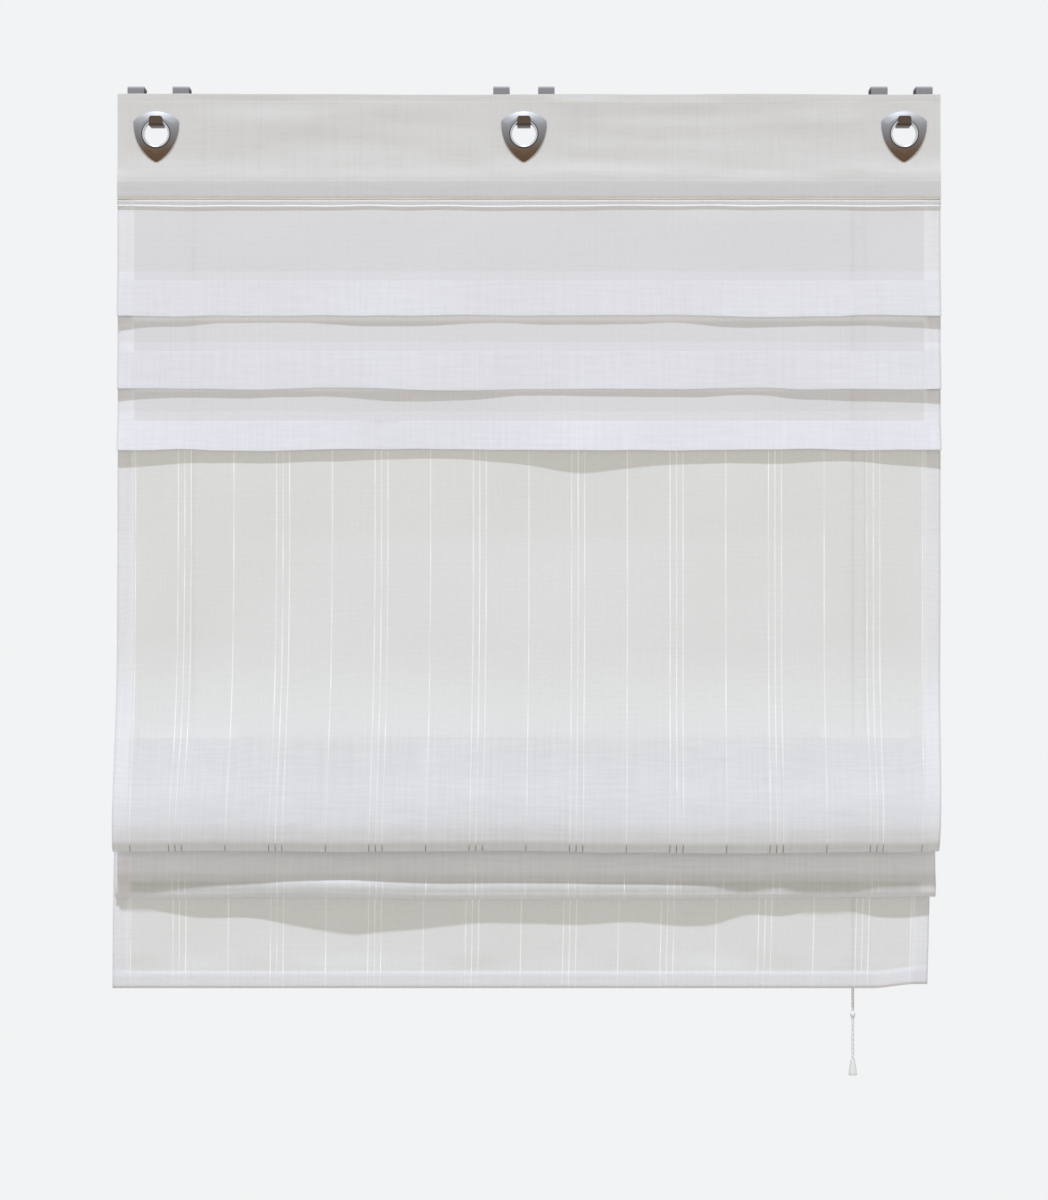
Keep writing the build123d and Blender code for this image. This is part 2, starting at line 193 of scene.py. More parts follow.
def cloth_material(name, single, double, cover, through=0.14, striped=False, rough_weave=0.13, side_seam=None,
                   rows=()):
    """Cloth of one colour where single and another where double; the mix also carries painted light and shade.

    cover is how opaque one layer is, through the share of light that goes through it, side_seam the distance of
    the side stitching from the middle, and rows are the places along the cloth of the seams that cross it.
    """
    made, tree = new_material(name)
    cut = add(tree, "ShaderNodeAttribute", attribute_name="cut")
    parts = add(tree, "ShaderNodeSeparateXYZ", {0: cut.outputs["Vector"]})
    across, along, layers_and_painted_light = parts.outputs[0], parts.outputs[1], parts.outputs[2]

    warp = add(tree, "ShaderNodeMath", {0: across, 1: math.tau / weave_pitch}, operation="MULTIPLY")
    warp_wave = add(tree, "ShaderNodeMath", {0: warp}, operation="SINE")
    weft = add(tree, "ShaderNodeMath", {0: along, 1: math.tau / weave_pitch}, operation="MULTIPLY")
    weft_wave = add(tree, "ShaderNodeMath", {0: weft}, operation="SINE")
    weave = add(tree, "ShaderNodeMath", {0: warp_wave, 1: weft_wave}, operation="MULTIPLY")

    slub_place = add(tree, "ShaderNodeVectorMath", {0: cut.outputs["Vector"], 1: (1 / slub_length, 1 / (3 * mm), 0)},
                     operation="MULTIPLY")
    slubs = add(tree, "ShaderNodeTexNoise", {"Vector": slub_place, "Scale": 1.0, "Detail": 3.0})
    warp_place = add(tree, "ShaderNodeVectorMath", {0: cut.outputs["Vector"], 1: (1 / (3 * mm), 1 / (90 * mm), 0)},
                     operation="MULTIPLY")
    warp_slubs = add(tree, "ShaderNodeTexNoise", {"Vector": warp_place, "Scale": 1.0, "Detail": 3.0})
    cloudy = add(tree, "ShaderNodeTexNoise", {"Vector": cut.outputs["Vector"], "Scale": 9.0, "Detail": 2.0})
    yarn = add(tree, "ShaderNodeMath", {0: slubs, 1: warp_slubs}, operation="ADD")
    mottled = add(tree, "ShaderNodeMath", {0: yarn, 1: cloudy}, operation="ADD")
    shade = add(tree, "ShaderNodeMapRange", {"Value": mottled, "From Min": 1.0, "From Max": 2.0,
                                             "To Min": 0.982, "To Max": 1.018})
    base = add(tree, "ShaderNodeMix", {0: layers_and_painted_light, 6: srgb(single), 7: srgb(double)}, data_type="RGBA",
               clamp_factor=False)
    toned = add(tree, "ShaderNodeVectorMath", {0: base.outputs[2], "Scale": shade}, operation="SCALE")

    lift = add(tree, "ShaderNodeMath", {0: weave, 1: 0.5}, operation="MULTIPLY")
    open_weave = add(tree, "ShaderNodeMapRange", {"Value": yarn, "From Min": 0.6, "From Max": 1.4,
                                                  "To Min": cover - 0.05, "To Max": cover + 0.05})
    colour, alpha, height = toned, open_weave, lift
    lines = [(along, across, row) for row in rows]
    if side_seam:
        from_middle = add(tree, "ShaderNodeMath", {0: across}, operation="ABSOLUTE")
        lines.append((from_middle, along, side_seam))
    for beside, lengthwise, place in lines:
        off = add(tree, "ShaderNodeMath", {0: beside, 1: place}, operation="SUBTRACT")
        gap = add(tree, "ShaderNodeMath", {0: off}, operation="ABSOLUTE")
        thread = add(tree, "ShaderNodeMapRange", {"Value": gap, "From Min": 0.2 * mm,
                                                  "From Max": 0.5 * mm, "To Min": 0.6, "To Max": 0.0})
        step = add(tree, "ShaderNodeMath", {0: lengthwise, 1: 1.5 * mm, 2: -1.5 * mm}, operation="WRAP")
        in_stitch = add(tree, "ShaderNodeMath", {0: step, 1: -0.5 * mm}, operation="GREATER_THAN")
        stitch = add(tree, "ShaderNodeMath", {0: thread, 1: in_stitch}, operation="MULTIPLY")
        sewn = add(tree, "ShaderNodeMix", {0: stitch, 6: colour, 7: srgb("E9E9E8")}, data_type="RGBA")
        dent = add(tree, "ShaderNodeMath", {0: thread, 1: -2.5, 2: height}, operation="MULTIPLY_ADD")
        colour, height = sewn.outputs[2], dent
    if striped:
        nearest = add(tree, "ShaderNodeMath", {0: across, 1: stripe_pitch / 2, 2: -stripe_pitch / 2}, operation="WRAP")
        from_one = add(tree, "ShaderNodeMath", {0: nearest}, operation="ABSOLUTE")
        shifted = add(tree, "ShaderNodeMath", {0: across, 1: stripe_pitch / 2}, operation="ADD")
        group = add(tree, "ShaderNodeMath", {0: shifted, 1: stripe_pitch / 2, 2: -stripe_pitch / 2}, operation="WRAP")
        from_group = add(tree, "ShaderNodeMath", {0: group}, operation="ABSOLUTE")
        from_side = add(tree, "ShaderNodeMath", {0: from_group, 1: group_pitch}, operation="SUBTRACT")
        from_outer = add(tree, "ShaderNodeMath", {0: from_side}, operation="ABSOLUTE")
        in_group = add(tree, "ShaderNodeMath", {0: from_group, 1: from_outer}, operation="MINIMUM")
        distance = add(tree, "ShaderNodeMath", {0: from_one, 1: in_group}, operation="MINIMUM")
        stripe = add(tree, "ShaderNodeMapRange", {
            "Value": distance, "From Min": 0.35 * stripe_width, "From Max": 0.65 * stripe_width,
            "To Min": 1.0, "To Max": 0.0}, interpolation_type="SMOOTHSTEP")
        dash_place = add(tree, "ShaderNodeVectorMath", {0: cut.outputs["Vector"], 1: (260.0, 22.0, 0)},
                         operation="MULTIPLY")
        dashes = add(tree, "ShaderNodeTexNoise", {"Vector": dash_place, "Scale": 1.0, "Detail": 1.0})
        shown = add(tree, "ShaderNodeMapRange", {"Value": dashes, "From Min": 0.3, "From Max": 0.7,
                                                 "To Min": 0.25, "To Max": 1.0})
        strength = add(tree, "ShaderNodeMath", {0: stripe, 1: shown}, operation="MULTIPLY")
        threaded = add(tree, "ShaderNodeMix", {0: strength, 6: colour, 7: srgb("F4F4F3")}, data_type="RGBA")
        # Painted shade: near the upper fold's lower edge the stripe threads turn dark brown.
        painted_tick_shade = add(tree, "ShaderNodeAttribute", attribute_name="painted_tick_shade")
        painted_tick = add(tree, "ShaderNodeMath", {0: stripe, 1: painted_tick_shade.outputs["Fac"]}, operation="MULTIPLY")
        with_painted_ticks = add(tree, "ShaderNodeMix", {0: painted_tick, 6: threaded.outputs[2], 7: srgb("6E5C4A")},
                     data_type="RGBA")
        colour = with_painted_ticks.outputs[2]
        closed = add(tree, "ShaderNodeMath", {0: strength, 1: alpha}, operation="MAXIMUM")
        alpha = closed
        raised = add(tree, "ShaderNodeMath", {0: strength, 1: 2.0, 2: height}, operation="MULTIPLY_ADD")
        height = raised
    bump = add(tree, "ShaderNodeBump", {"Height": height, "Strength": rough_weave, "Distance": 0.15 * mm})
    lit = add(tree, "ShaderNodeBsdfPrincipled", {
        "Base Color": colour, "Normal": bump, "Roughness": 0.86, "Sheen Weight": 0.12,
        "Sheen Roughness": 0.5, "Specular IOR Level": 0.25})
    warm = add(tree, "ShaderNodeVectorMath", {0: colour, 1: (1.06, 1.03, 0.97)}, operation="MULTIPLY")
    glowing = add(tree, "ShaderNodeBsdfTranslucent", {"Color": warm})
    cloth = add(tree, "ShaderNodeMixShader", {0: through, 1: lit, 2: glowing})
    gaps = add(tree, "ShaderNodeBsdfTransparent")
    sheer = add(tree, "ShaderNodeMixShader", {0: alpha, 1: gaps, 2: cloth})
    add(tree, "ShaderNodeOutputMaterial", {"Surface": sheer})
    return made


side_seam = half_width - 12.5 * mm
plain_voile = cloth_material("plain polyester voile", "D3D3D6", "E5E6EA", 0.94, side_seam=side_seam)
striped_voile = cloth_material("striped polyester voile", "D5D6D4", "E4E5E7", 0.92, striped=True, side_seam=side_seam)
print("cloths:", plain_voile.name, "and", striped_voile.name)

# %% [markdown]
# A soft sheet starts as a section: the line that the cloth follows in Y and Z, seen from the side. The section
# is drawn with a few corners, and the corners are rounded. The corners may lie a little differently in every
# column across the blind, so that edges wave as cloth does. All columns have the same number of points, which
# makes the sheet a plain grid. A grid keeps the weave straight, which a simulated or remeshed cloth wouldn't.

# %% Sections with rounded corners
def rounded(corners, step=4 * mm, most=60 * mm, turns=6):
    """corners is (columns, corners, 2). Runs are divided at about this step, and each corner gets a soft arc."""
    corners = np.asarray(corners, float)
    runs = np.diff(corners, axis=1)
    lengths = np.maximum(np.linalg.norm(runs, axis=2), 1e-9)
    ways = runs / lengths[:, :, None]
    cosines = np.clip((ways[:, :-1] * ways[:, 1:]).sum(2), -1, 1)
    half_turns = np.tan(np.arccos(cosines) / 2)
    shorter = np.minimum(lengths[:, :-1], lengths[:, 1:])
    cut_off = np.minimum(most * half_turns, 0.46 * shorter)
    line = [corners[:, :1]]
    before = corners[:, 0]
    nominal = corners[corners.shape[0] // 2]
    for i in range(1, corners.shape[1] - 1):
        start = corners[:, i] - ways[:, i - 1] * cut_off[:, i - 1, None]
        end = corners[:, i] + ways[:, i] * cut_off[:, i - 1, None]
        count = max(1, round(np.linalg.norm(nominal[i] - nominal[i - 1]) / step))
        for t in np.linspace(0, 1, count + 1)[1:]:
            line.append((before + (start - before) * t)[:, None])
        for t in np.linspace(0, 1, turns + 1)[1:]:
            bend = start * (1 - t) ** 2 + corners[:, i] * 2 * t * (1 - t) + end * t * t
            line.append(bend[:, None])
        before = end
    count = max(1, round(np.linalg.norm(nominal[-1] - nominal[-2]) / step))
    for t in np.linspace(0, 1, count + 1)[1:]:
        line.append((before + (corners[:, -1] - before) * t)[:, None])
    return np.concatenate(line, axis=1)


def distance_along(section):
    """How far each point of the middle column is from its start, along the cloth."""
    nominal = section[section.shape[0] // 2]
    return np.concatenate([[0], np.cumsum(np.linalg.norm(np.diff(nominal, axis=0), axis=1))])


# %% [markdown]
# The columns. The voile's side edges are turned in and sewn, so each sheet starts behind its left edge, runs
# round it, across the front and round the right edge. The turned-in strip is real cloth here too, and it is why
# the sides look whiter.

# %% Columns across the blind
def columns(turned_in, step=3.4 * mm):
    """The place across the flat cloth of each column, from the middle of the blind, and beyond the edge in a hem."""
    count = round(2 * half_width / step)
    front = np.linspace(-half_width, half_width, count + 1)
    if not turned_in:
        return front
    strip = np.array([0.5, 1.2, 4, 8, 11.5, 14.5]) * mm
    return np.concatenate([-half_width - strip[::-1], front, half_width + strip])


def fold_in(across):
    """Where each column lies: X after the side hems are turned in, and how far behind the front layer."""
    beyond = np.maximum(np.abs(across) - half_width, 0)
    x = np.clip(across, -half_width, half_width) - np.sign(across) * np.maximum(beyond - 0.5 * mm, 0)
    behind = layer * np.clip(beyond / (1.2 * mm), 0, 1)
    return x, behind


def soft(x, seed, length):
    """A smooth random wave between about -1 and 1, the same in every run."""
    return np.array([1.8 * noise.noise(Vector((value / length, 7.31 * seed, 0.5))) for value in np.atleast_1d(x)])


def wrinkles(x, z, seed, size):
    """Shallow random hollows for a grid of places."""
    return np.array([
        [1.6 * noise.noise(Vector((a / size[0], b / size[1], 3.17 * seed))) for a, b in zip(row_x, row_z)]
        for row_x, row_z in zip(x, z)
    ])


# %% [markdown]
# The mesh. Each sheet is one open grid of quads, smooth shaded. Two triangles a quad, and a quad about 3.5 mm
# wide, keep the largest sheet well under 120,000 triangles.

# %% From a section to a sheet
def smooth_object(name, points, faces, material):
    """A smooth-shaded object of these points and faces."""
    mesh = bpy.data.meshes.new(name)
    mesh.from_pydata(points, [], faces)
    mesh.polygons.foreach_set("use_smooth", [True] * len(mesh.polygons))
    mesh.materials.append(material)
    made = placed(name, mesh)
    return made


def sheet_mesh(name, across, x, y, z, along, layers_and_painted_light, material, holes=()):
    """x, y, z and doubled are (columns, stations). Faces inside a hole, given as x, z and radius, are left out."""
    wide, tall = x.shape
    points = np.stack([x, y, z], axis=2).reshape(-1, 3)
    index = np.arange(wide * tall).reshape(wide, tall)
    quads = np.stack([index[:-1, :-1], index[1:, :-1], index[1:, 1:], index[:-1, 1:]], axis=2).reshape(-1, 4)
    centres = points[quads].mean(1)
    for hole_x, hole_z, radius in holes:
        quads_kept = np.hypot(centres[:, 0] - hole_x, centres[:, 2] - hole_z) > radius
        quads, centres = quads[quads_kept], centres[quads_kept]
    used, quads = np.unique(quads, return_inverse=True)
    made = smooth_object(name, points[used].tolist(), quads.reshape(-1, 4).tolist(), material)
    cut = np.stack([np.repeat(across[:, None], tall, 1), np.repeat(along[None, :], wide, 0), layers_and_painted_light], axis=2)
    attribute = made.data.attributes.new("cut", "FLOAT_VECTOR", "POINT")
    attribute.data.foreach_set("vector", cut.reshape(-1, 3)[used].astype(np.float32).ravel())
    print(name, "has", len(made.data.polygons), "quads,", round(float(along[-1]) / mm), "mm of cloth")
    return made


def smooth_step(t):
    t = np.clip(t, 0, 1)
    return t * t * (3 - 2 * t)


# %% [markdown]
# The header band is a tube of close-woven cotton: down the back, round the lower seam and up the front, and
# closed at the top. The bar in its lower tunnel makes a soft ridge. The cloth round the bar is painted darker, as
# painted shade, and the ridge's underside and the lip below are painted much lighter, as painted light. Below the
# ridge the two layers are sewn together with the voile between them, which leaves a thin lip. It is built as one
# loop, with holes under the eyelets, and the wrinkles are wide and shallow because the cloth is stiff.

# %% Header band
eyelets = ("left", "middle", "right")
hole_radius = 13.6 * mm
across = columns(False, 2.6 * mm)
front_y, back_y = cloth_y - layer / 2, cloth_y + layer / 2
lip_wave = 0.5 * mm * soft(across, 1, 70 * mm)
seam_wave = 0.7 * mm * soft(across, 3, 55 * mm)
top_wave = 0.7 * mm * soft(across, 2, 110 * mm)
ridge = 3.2 * mm
header_corners = []
for column in range(len(across)):
    low, high = header_low.z + lip_wave[column], header_high.z + top_wave[column]
    seam = header_bar_z - 8.2 * mm + 0.3 * seam_wave[column]
    header_corners.append([
        (back_y, high - 1 * mm), (back_y, high), (front_y - 0.3 * mm, high), (front_y, high - 8 * mm),
        (front_y, header_bar_z + 30 * mm), (front_y - ridge, header_bar_z + 10 * mm),
        (front_y - ridge, header_bar_z - 6.9 * mm), (front_y - 2.1 * mm, seam),
        (front_y - 2.2 * mm, low), (back_y, low), (back_y, high - 1 * mm),
    ])
section = rounded(header_corners, step=3 * mm, most=120 * mm, turns=5)
along = distance_along(section)
y, z = section[:, :, 0], section[:, :, 1]
x = np.repeat(across[:, None], y.shape[1], 1)
top_row, tunnel_row = (float(along[np.argmin(np.abs(z[len(across) // 2] - place) + 9 * (y[0] > cloth_y))])
                       for place in (header_high.z - 7.5 * mm, header_bar_z + 9.5 * mm))
header_cotton = cloth_material("close-woven cotton", "D2D2D0", "CBCBCB", 0.999, through=0.06, rough_weave=0.15,
                               rows=(top_row, tunnel_row))
holes = [(middle(f"washer_{side}").x, middle(f"washer_{side}").z, hole_radius) for side in eyelets]
from_hole = np.min([np.hypot(x - hole_x, z - hole_z) for hole_x, hole_z, _ in holes], axis=0)
free = smooth_step((from_hole - 27 * mm) / (30 * mm)) * smooth_step((z - header_bar_z - 8 * mm) / (14 * mm))
free = free * smooth_step((header_high.z - z) / (8 * mm))
y = y + free * (0.7 * mm * wrinkles(x, z, 4, (150 * mm, 18 * mm)) + 0.9 * mm * wrinkles(x, z, 5, (90 * mm, 50 * mm)))
# Painted shade round the bar, and painted light below it: the value goes to the darker double colour at the bar and far
# past the single colour underneath.
painted_bar_shade_and_light = smooth_step((14 * mm - np.abs(z - header_bar_z)) / (9 * mm)) - 3.2 * (z < header_bar_z - 6.5 * mm)
header = sheet_mesh("header_cloth", across, x, y, z, along, painted_bar_shade_and_light, header_cotton, holes)
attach(header, "top")
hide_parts("header_band")

# %% [markdown]
# The plain voile hangs from between the header's layers. At each tuck it is folded forward and down and comes
# up again to the seam, so three layers lie over each other there. A tuck's lower edge stands a few millimetres
# in front, more at its ends, and waves a little. That is what makes its thin uneven shadow. The top edge, left
# over from the seam, is turned forward under the header as a narrow strip.

# %% Plain voile with its tucks
across = columns(True)
flat_x, behind = fold_in(across)
seam_wave = 0.7 * mm * soft(flat_x, 3, 55 * mm)
tuck_gap = 1.0 * mm
lead_in = 6 * mm
end_share = np.exp(-(half_width - np.abs(flat_x)) / (45 * mm))
tuck_corners = [[] for _ in across]
seam_stations = []
for tuck, (seam, depth, flare) in enumerate(zip(tuck_seams, tuck_depths, tuck_flares)):
    edge_wave = 1.1 * mm * soft(flat_x, 10 + tuck, 95 * mm) + 0.5 * mm * soft(flat_x, 20 + tuck, 38 * mm)
    out_wave = 0.9 * mm * soft(flat_x, 30 + tuck, 110 * mm) + 0.4 * mm * soft(flat_x, 50 + tuck, 40 * mm)
    out_wave = out_wave + 2.4 * mm * end_share
    for column in range(len(across)):
        edge = seam - depth + edge_wave[column]
        out = flare + out_wave[column]
        tuck_corners[column] += [
            (cloth_y, seam + 9 * mm), (cloth_y - tuck_gap, seam), (cloth_y - out, edge),
            (cloth_y - out + 1.8 * mm, edge + 0.3 * mm), (cloth_y - 0.5 * tuck_gap, seam), (cloth_y, seam - 0.5 * mm),
        ]
allowance = 6.6 * mm
plain_corners = []
for column, corners in enumerate(tuck_corners):
    lip = header_low.z - allowance + seam_wave[column]
    plain_corners.append([
        (cloth_y, header_low.z + lead_in), (cloth_y, header_low.z - 0.9 * mm),
        (cloth_y - 2.9 * mm, header_low.z - 1.0 * mm), (cloth_y - 1.2 * mm, lip + 1.3 * mm),
        (cloth_y - 1.7 * mm, lip + 0.3 * mm), (cloth_y - 1.6 * mm, lip), (cloth_y, lip - 0.2 * mm),
        *corners, (cloth_y, striped_top),
    ])
section = rounded(plain_corners, step=3.6 * mm, most=3 * mm, turns=4)
along = distance_along(section)
y, z = section[:, :, 0], section[:, :, 1]
x = np.repeat(flat_x[:, None], y.shape[1], 1)
loose = smooth_step((header_low.z - z) / (25 * mm))
y = y + behind[:, None] + loose * (0.9 * mm * wrinkles(x, z, 8, (120 * mm, 90 * mm)))
# Painted highlights: the voile is whiter just under the header's lower edge and along the strip's lower lip. The tucks
# are real triple cloth.
layers_and_painted_highlights = np.full(y.shape[1], -0.1)
heights = z.mean(0)
layers_and_painted_highlights[heights > header_low.z - allowance - 0.4 * mm] = 1.0
layers_and_painted_highlights[heights > header_low.z - allowance + 1.2 * mm] = 0.3
layers_and_painted_highlights[heights > header_low.z - 2.0 * mm] = 1.2
for seam, depth in zip(tuck_seams, tuck_depths):
    layers_and_painted_highlights[(heights < seam) & (heights > seam - depth - 3 * mm)] = 1
side_whiteness = 1.1 * (np.abs(across) > half_width - side_hem)[:, None]
layers_and_painted_light = np.maximum(layers_and_painted_highlights[None, :], side_whiteness)
plain = sheet_mesh("plain_voile", across, x, y, z, along, layers_and_painted_light, plain_voile)
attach(plain, "top")
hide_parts("tucked_panel")

# %% [markdown]
# The striped voile is one length of cloth from behind the lowest tuck to the hem. It is drawn as one run of
# stations, down the front of the upper fold, up behind it to the second row of rings, down the lower fold, up
# to the last row and down the bottom panel. It is then cut where it passes from one moving body to the next,
# and neighbours share their edge points, so no gap shows. The lower cloth is drawn in a little at the right,
# because the cords pull unevenly.

# %% How the folds hang
across = columns(True)
flat_x, behind = fold_in(across)
upper_wave = 1.2 * mm * soft(flat_x, 41, 150 * mm) + 0.5 * mm * soft(flat_x, 42, 50 * mm)
lower_wave = 1.6 * mm * soft(flat_x, 43, 170 * mm)
upper_out = upper_reach + 1.6 * mm * soft(flat_x, 44, 190 * mm)
scallop_x = np.array([-400, -345, -262, -240, -168, -128, 0, 140, 178, 210, 245, 275, 300, 340, 383, 400]) * mm
scallop_out = np.array([10, 12.6, 14.8, 16.1, 20, 18.3, 17, 16.1, 15.7, 12.6, 14.6, 11.4, 10.4, 13.6, 13.8, 13.4]) * mm
lower_out = np.interp(flat_x, scallop_x, scallop_out)
lower_out = np.convolve(np.pad(lower_out, 4, "edge"), np.hanning(11)[1:-1] / np.hanning(11).sum(), "valid")
layer_step = 2.8 * mm
hem_lift = 4 * mm * smooth_step((flat_x - 345 * mm) / (45 * mm))
hem_height = 15 * mm


def fold_corners(column):
    """Corners of the whole striped length in one column, and where each piece of it ends."""
    up_edge, low_edge = upper_edge + upper_wave[column], lower_edge + lower_wave[column]
    up_out, low_out = upper_out[column], lower_out[column]
    at_cord = math.exp(-((abs(flat_x[column]) - cord_offset) / (55 * mm)) ** 2)
    swing = 7 * mm * (1 - at_cord)
    front = [
        (cloth_y, striped_top), (cloth_y, row_3 + 150 * mm), (cloth_y - swing, row_3),
        (cloth_y - 0.93 * up_out, up_edge + 48 * mm),
        (cloth_y - up_out, up_edge + 24 * mm), (cloth_y - up_out + 1.8 * mm, up_edge + 9 * mm),
        (cloth_y - up_out + 5.5 * mm, up_edge + 1.8 * mm), (cloth_y - up_out + 9 * mm, up_edge),
        (cloth_y - upper_back, up_edge), (cloth_y - upper_back, up_edge + 20 * mm),
    ]
    back = [
        (cloth_y - upper_back, up_edge + 25 * mm), (cloth_y - 3 * layer_step, row_1 - 6 * mm),
        (cloth_y - layer_step, row_2 - 12 * mm), (cloth_y - layer_step, row_2), (cloth_y, row_2),
        (cloth_y, row_2 - 12 * mm),
    ]
    lower_front = [
        (cloth_y, row_2 - 18 * mm), (cloth_y - 2 * layer_step, row_1 - 6 * mm),
        (cloth_y - 2.6 * layer_step, up_edge + 2 * mm), (cloth_y - 0.6 * low_out - 2 * mm, low_edge + 24 * mm),
        (cloth_y - low_out, low_edge + 12 * mm), (cloth_y - low_out + 1 * mm, low_edge + 4 * mm),
        (cloth_y - low_out + 3.5 * mm, low_edge), (cloth_y - lower_back, low_edge),
        (cloth_y - lower_back, low_edge + 20 * mm),
    ]
    lower_behind = [
        (cloth_y - lower_back, low_edge + 25 * mm), (cloth_y - 1.6 * layer_step, up_edge + 6 * mm),
        (cloth_y - layer_step, row_1 - 12 * mm), (cloth_y - layer_step, row_1), (cloth_y, row_1),
        (cloth_y, row_1 - 12 * mm),
    ]
    return front, back, lower_front, lower_behind


names = ["striped_voile", "upper_fold_behind", "lower_fold_voile", "lower_fold_behind"]
pieces = [fold_corners(column) for column in range(len(across))]
sections = []
for part in range(4):
    corners = [column[part] if part == 0 else [column[part - 1][-1], *column[part]] for column in pieces]
    sections.append(rounded(corners, step=3.6 * mm, most=400 * mm if part == 0 else 60 * mm, turns=6))
print("stations in each piece of the striped cloth:", [s.shape[1] for s in sections])

# %% [markdown]
# Drawing in the sides. Each ring row and fold edge has its own width, as a share of the full width, its own
# shift, and how far its ends curl in. The stations between them take values in between. The cut attribute's Z
# here also carries painted light and painted shade. The fold fronts are whiter, partly for the layers behind them
# and partly as painted light. The hollow under the upper fold is whiter still, as painted light in its shade, and a
# band on the lower fold just above its edge is darker, as painted shade. The top of the striped voile and the
# bottom panel are darker, as painted shade.

# %% Striped voile in four moving pieces
widths = np.array([(1, 0, 0), (1.009, -3.1, 6), (1.004, -3.4, 4), (1.003, -3.9, 4), (0.996, -5.5, 1), (0.989, -8.9, 0)])
widths[:, 1:] *= mm


def draw_in(start, end, share):
    """X of a grid of cloth whose width, shift and curl turn from one row of widths to another."""
    scale, shift, curl = (widths[start][:, None] * (1 - share) + widths[end][:, None] * share)
    ends = np.sign(flat_x) * smooth_step((np.abs(flat_x) - 330 * mm) / (70 * mm))
    return flat_x[:, None] * scale[None, :] + shift[None, :] - ends[:, None] * curl[None, :]


stands_for = [("striped_panel", "upper_fold_front"), ("upper_fold_back",), ("lower_fold_front",), ("lower_fold_back",)]
used = 0.0
for part, section in enumerate(sections):
    own = distance_along(section)
    y, z = section[:, :, 0], section[:, :, 1]
    share = own / own[-1]
    if part == 0:
        drawn_from = row_3 + 150 * mm
        share = np.clip((drawn_from - z.mean(0)) / (drawn_from - upper_edge), 0, 1) ** 2
        share[own > own[-1] - 25 * mm] = 1.0
    x = draw_in(part, part + 1, share)
    y = y + behind[:, None]
    if part == 0:
        loose = smooth_step((striped_top - z) / (30 * mm)) * smooth_step((z - upper_edge - 10 * mm) / (60 * mm))
        y = y + loose * 1.3 * mm * wrinkles(x, z, 12, (95 * mm, 170 * mm))
    # Painted light and shade: whiter fold fronts, partly for the layers behind and partly painted light; darker towards
    # the top as painted shade; a whiter hollow under the upper fold as painted light; a darker band above the lower
    # fold's edge as painted shade.
    whiteness = np.full_like(z, 0.2)
    if part == 0:
        whiteness = -0.2 + 0.55 * (z < row_2) + 0.5 * smooth_step((row_2 - z) / (80 * mm))
        whiteness -= 0.5 * smooth_step((z - row_3) / (striped_top - row_3))
    if part == 2:
        painted_ridge_shade = smooth_step((lower_edge + 18 * mm - z) / (5 * mm)) * smooth_step((z - lower_edge - 3 * mm) / (5 * mm))
        painted_hollow_light = smooth_step((z - lower_edge - 20 * mm) / (6 * mm))
        painted_hollow_light *= smooth_step((upper_edge + 8 * mm - z) / (10 * mm))
        whiteness = 1.15 - 1.3 * painted_ridge_shade + 0.8 * painted_hollow_light
    layers_and_painted_light = np.maximum(whiteness, side_whiteness)
    made = sheet_mesh(names[part], across, x, y, z, used + own, layers_and_painted_light, striped_voile)
    if part == 0:
        # Painted shade: the stripe threads darken over the lowest 10 mm of the upper fold.
        painted_tick_shade = smooth_step((upper_edge + 10 * mm - z) / (5 * mm)).ravel() * 0.75
        made.data.attributes.new("painted_tick_shade", "FLOAT", "POINT").data.foreach_set("value", painted_tick_shade.astype(np.float32))
    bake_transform(made)
    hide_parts(*stands_for[part])
    used += own[-1]

# %% [markdown]
# The bottom panel rides on the hem. Its lower edge is turned up behind and sewn, and a flat bar lies in the
# tunnel, which keeps the hem straight. The hem is double and so it is whiter. Above the hem the panel is painted
# darker, as painted shade.

# %% Bottom panel with its hem
panel_corners = []
tunnel = 3.7 * mm
for column in range(len(across)):
    low = hem_edge + hem_lift[column]
    panel_corners.append([
        (cloth_y, row_1 - 12 * mm), (cloth_y - 1.6 * mm, row_1 - 60 * mm),
        (cloth_y - tunnel + 0.4 * mm, low + hem_height + 3 * mm), (cloth_y - tunnel + 0.1 * mm, low + hem_height),
        (cloth_y - tunnel, low + hem_height - 3 * mm),
        (cloth_y - tunnel + 0.2 * mm, low + 2 * mm), (cloth_y - 1.2 * mm, low), (cloth_y + layer, low),
        (cloth_y + layer, low + hem_height),
    ])
section = rounded(panel_corners, step=3.4 * mm, most=4 * mm, turns=4)
own = distance_along(section)
y, z = section[:, :, 0], section[:, :, 1]
share = np.clip((row_1 - z.mean(0)) / (row_1 - hem_edge), 0, 1)
x = draw_in(4, 5, share)
loose = smooth_step((row_1 - 15 * mm - z) / (40 * mm)) * smooth_step((z - hem_edge - hem_height) / (20 * mm))
y = y + behind[:, None] + loose * 1.8 * mm * wrinkles(x, z, 15, (75 * mm, 120 * mm))
turned = own > own[-1] - 2 * hem_height - tunnel - layer
# The hem is real double cloth; the panel above it is painted darker as painted shade.
layers_and_painted_light = np.maximum(side_whiteness, np.where(turned, 1.2, -0.9)[None, :])
panel = sheet_mesh("bottom_voile", across, x, y, z, used + own, layers_and_painted_light, striped_voile)
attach(panel, "hem")
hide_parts("bottom_panel")

# %% [markdown]
# The bar in the hem. The cloth of the hem is drawn in and lifts at its right end, where no bar stiffens it. So the
# bar that shows stops short of that end, with its edges rounded as extruded bars are.

